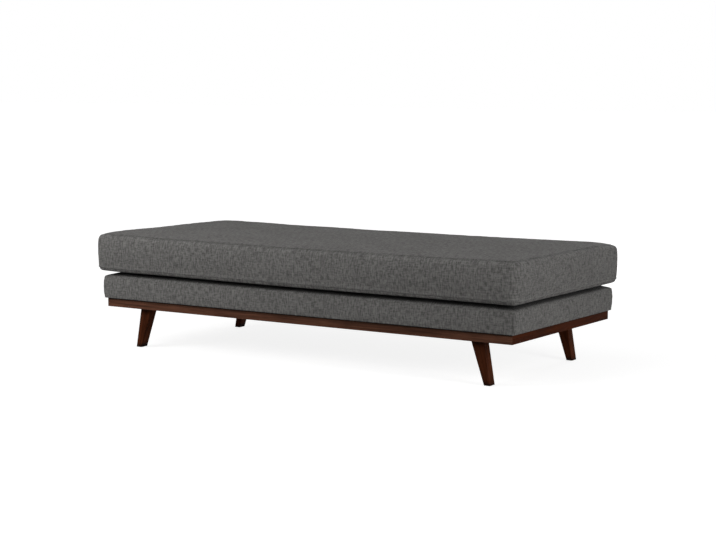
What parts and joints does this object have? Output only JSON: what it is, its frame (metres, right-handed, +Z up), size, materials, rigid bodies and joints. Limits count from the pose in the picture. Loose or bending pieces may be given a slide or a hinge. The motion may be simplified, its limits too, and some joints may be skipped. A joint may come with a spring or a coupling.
{
  "type": "backless divan",
  "caption": "Backless divan with a loose box cushion on an upholstered seat box, over a wooden plinth with splayed tapered legs.",
  "frame": {"origin": "on the floor, under the middle of the seat", "axes": "+X along the length, -Y out of the front, +Z up"},
  "size_m": [1.914, 0.848, 0.463],
  "materials": {
    "cover_fabric": "matte",
    "walnut": "satin",
    "frame_wood": "matte",
    "steel": "satin",
    "foam": "matte",
    "wadding": "matte",
    "felt": "matte",
    "cambric": "matte",
    "zip_tape": "matte",
    "zip_metal": "satin",
    "glide": "matte"
  },
  "bodies": {
    "base": {"plinth_front_rail": "walnut", "plinth_back_rail": "walnut", "plinth_left_rail": "walnut", "plinth_right_rail": "walnut", "plinth_block_front_left": "frame_wood", "plinth_block_front_right": "frame_wood", "plinth_block_back_left": "frame_wood", "plinth_block_back_right": "frame_wood", "leg_bearer_left": "frame_wood", "leg_bearer_right": "frame_wood", "centre_bearer": "frame_wood", "plinth_dowels": "frame_wood", "leg_front_left": "walnut", "leg_front_right": "walnut", "leg_back_left": "walnut", "leg_back_right": "walnut", "glide_front_left": "glide", "glide_front_right": "glide", "glide_back_left": "glide", "glide_back_right": "glide", "leg_plates": "steel", "leg_bolts": "steel", "leg_plate_screws": "steel", "seat_front_rail": "frame_wood", "seat_back_rail": "frame_wood", "seat_left_rail": "frame_wood", "seat_right_rail": "frame_wood", "seat_brace_front_left": "frame_wood", "seat_brace_front_right": "frame_wood", "seat_brace_back_left": "frame_wood", "seat_brace_back_right": "frame_wood", "seat_stretcher_left": "frame_wood", "seat_stretcher_centre": "frame_wood", "seat_stretcher_right": "frame_wood", "frame_screws": "steel", "fixing_screws": "steel", "seat_springs": "steel", "spring_clips": "steel", "clip_nails": "steel", "spring_ties": "steel", "spring_pad": "felt", "deck_foam": "foam", "edge_pad_front": "foam", "edge_pad_back": "foam", "edge_pad_left": "foam", "edge_pad_right": "foam", "deck_cover": "cover_fabric", "dust_cover": "cambric", "dust_cover_staples": "steel"},
    "cushion": {"cushion_cover": "cover_fabric", "cushion_wadding": "wadding", "cushion_core": "foam", "zip_tape_upper": "zip_tape", "zip_tape_lower": "zip_tape", "zip_stops": "zip_metal"},
    "slider": {"zip_slider": "zip_metal"},
    "pull": {"zip_pull": "zip_metal"}
  },
  "joints": [
    {"name": "cushion_lift", "type": "slide", "parent": "base", "child": "cushion", "axis": [0, 0, 1], "range_m": [0, 0.4]},
    {"name": "zip_slide", "type": "slide", "parent": "cushion", "child": "slider", "axis": [1, 0, 0], "range_m": [-1.4864, 0]},
    {"name": "zip_pull_flip", "type": "hinge", "parent": "slider", "child": "pull", "pos_m": [0.7432, 0.4225, 0.3843], "axis": [0, 0, -1], "range_deg": [0, 165]}
  ]
}
